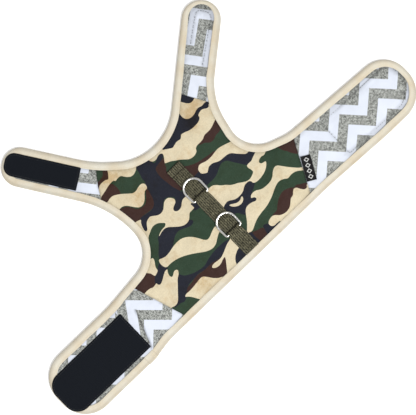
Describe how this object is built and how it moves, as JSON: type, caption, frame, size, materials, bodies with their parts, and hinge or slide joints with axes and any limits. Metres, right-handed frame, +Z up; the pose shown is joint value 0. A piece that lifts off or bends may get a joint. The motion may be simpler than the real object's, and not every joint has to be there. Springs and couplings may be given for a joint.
{
  "type": "pet safety harness vest",
  "caption": "Padded wrap-round pet harness vest laid open flat, camouflage back and zigzag-print wings, edge-taped, with leash D-rings on spine webbing and hook and loop closures.",
  "frame": {"origin": "middle of the vest's bounding box, on the surface that it lies on", "axes": "+X to the right wing (the longest side), +Y to the neck straps, +Z up out of the printed face"},
  "size_m": [0.5464, 0.2862, 0.009],
  "materials": {
    "camo_cloth": "printed cotton canvas in a four-colour woodland camouflage",
    "zigzag_cloth": "printed cotton in white and heathered grey zigzags",
    "lining_cloth": "printed cotton, as the wings",
    "padding": "thin polyester wadding",
    "edge_tape": "cream cotton bias tape, stitched",
    "webbing": "olive ribbed nylon webbing",
    "hook_tape": "black hook tape",
    "loop_tape": "black brushed loop tape",
    "thread": "olive sewing thread",
    "nickel_wire": "bright nickel-plated steel wire",
    "label_tape": null
  },
  "bodies": {
    "torso": {"camo_panel": "camo_cloth", "torso_padding": "padding", "torso_lining": "lining_cloth", "neck_edge_binding": "edge_tape", "left_armhole_binding": "edge_tape", "right_armhole_binding": "edge_tape", "hem_binding": "edge_tape", "torso_fold_beads": "edge_tape", "leash_webbing": "webbing", "webbing_tacks": "thread"},
    "left_neck_strap": {"left_neck_panel": "zigzag_cloth", "left_neck_padding": "padding", "left_neck_lining": "lining_cloth", "left_neck_binding": "edge_tape", "neck_hook_pad": "hook_tape"},
    "right_neck_strap": {"right_neck_panel": "zigzag_cloth", "right_neck_padding": "padding", "right_neck_lining": "lining_cloth", "right_neck_binding": "edge_tape", "neck_loop_pad": "loop_tape"},
    "left_wing": {"camo_panel_left_flank": "camo_cloth", "left_wing_panel": "zigzag_cloth", "left_wing_padding": "padding", "left_wing_lining": "lining_cloth", "left_wing_binding": "edge_tape", "left_wing_fold_bead": "edge_tape"},
    "left_wing_end": {"left_wing_end_panel": "zigzag_cloth", "left_wing_end_padding": "padding", "left_wing_end_lining": "lining_cloth", "left_wing_end_binding": "edge_tape", "girth_hook_pad": "hook_tape"},
    "right_wing": {"camo_panel_right_flank": "camo_cloth", "right_wing_panel": "zigzag_cloth", "right_wing_padding": "padding", "right_wing_lining": "lining_cloth", "right_wing_binding": "edge_tape", "right_wing_fold_bead": "edge_tape", "woven_label": "label_tape"},
    "right_wing_end": {"right_wing_end_panel": "zigzag_cloth", "right_wing_end_padding": "padding", "right_wing_end_lining": "lining_cloth", "right_wing_end_binding": "edge_tape", "girth_loop_pad": "loop_tape"},
    "front_ring": {"front_d_ring": "nickel_wire"},
    "rear_ring": {"rear_d_ring": "nickel_wire"}
  },
  "joints": [
    {"name": "left_wing_fold", "type": "hinge", "parent": "torso", "child": "left_wing", "pos_m": [-0.09, -0.095, 0.0024], "axis": [0, -1, 0], "range_deg": [-30, 90]},
    {"name": "left_wing_end_fold", "type": "hinge", "parent": "left_wing", "child": "left_wing_end", "pos_m": [-0.145, -0.101, 0.0024], "axis": [0, -1, 0], "range_deg": [-30, 90]},
    {"name": "right_wing_fold", "type": "hinge", "parent": "torso", "child": "right_wing", "pos_m": [0.09, -0.093, 0.0024], "axis": [0, 1, 0], "range_deg": [-30, 90]},
    {"name": "right_wing_end_fold", "type": "hinge", "parent": "right_wing", "child": "right_wing_end", "pos_m": [0.157, -0.103, 0.0024], "axis": [0, 1, 0], "range_deg": [-30, 90]},
    {"name": "left_neck_strap_fold", "type": "hinge", "parent": "torso", "child": "left_neck_strap", "pos_m": [-0.0685, 0.0459, 0.0024], "axis": [-0.8348, -0.5505, 0], "range_deg": [-30, 90]},
    {"name": "right_neck_strap_fold", "type": "hinge", "parent": "torso", "child": "right_neck_strap", "pos_m": [0.0768, 0.0405, 0.0024], "axis": [-0.6361, 0.7716, 0], "range_deg": [-30, 90]},
    {"name": "front_d_ring_flip", "type": "hinge", "parent": "torso", "child": "front_ring", "pos_m": [0.005, -0.046, 0.0054], "axis": [1, 0, 0], "range_deg": [0, 170]},
    {"name": "rear_d_ring_flip", "type": "hinge", "parent": "torso", "child": "rear_ring", "pos_m": [0.005, -0.1, 0.0054], "axis": [1, 0, 0], "range_deg": [0, 170]}
  ]
}
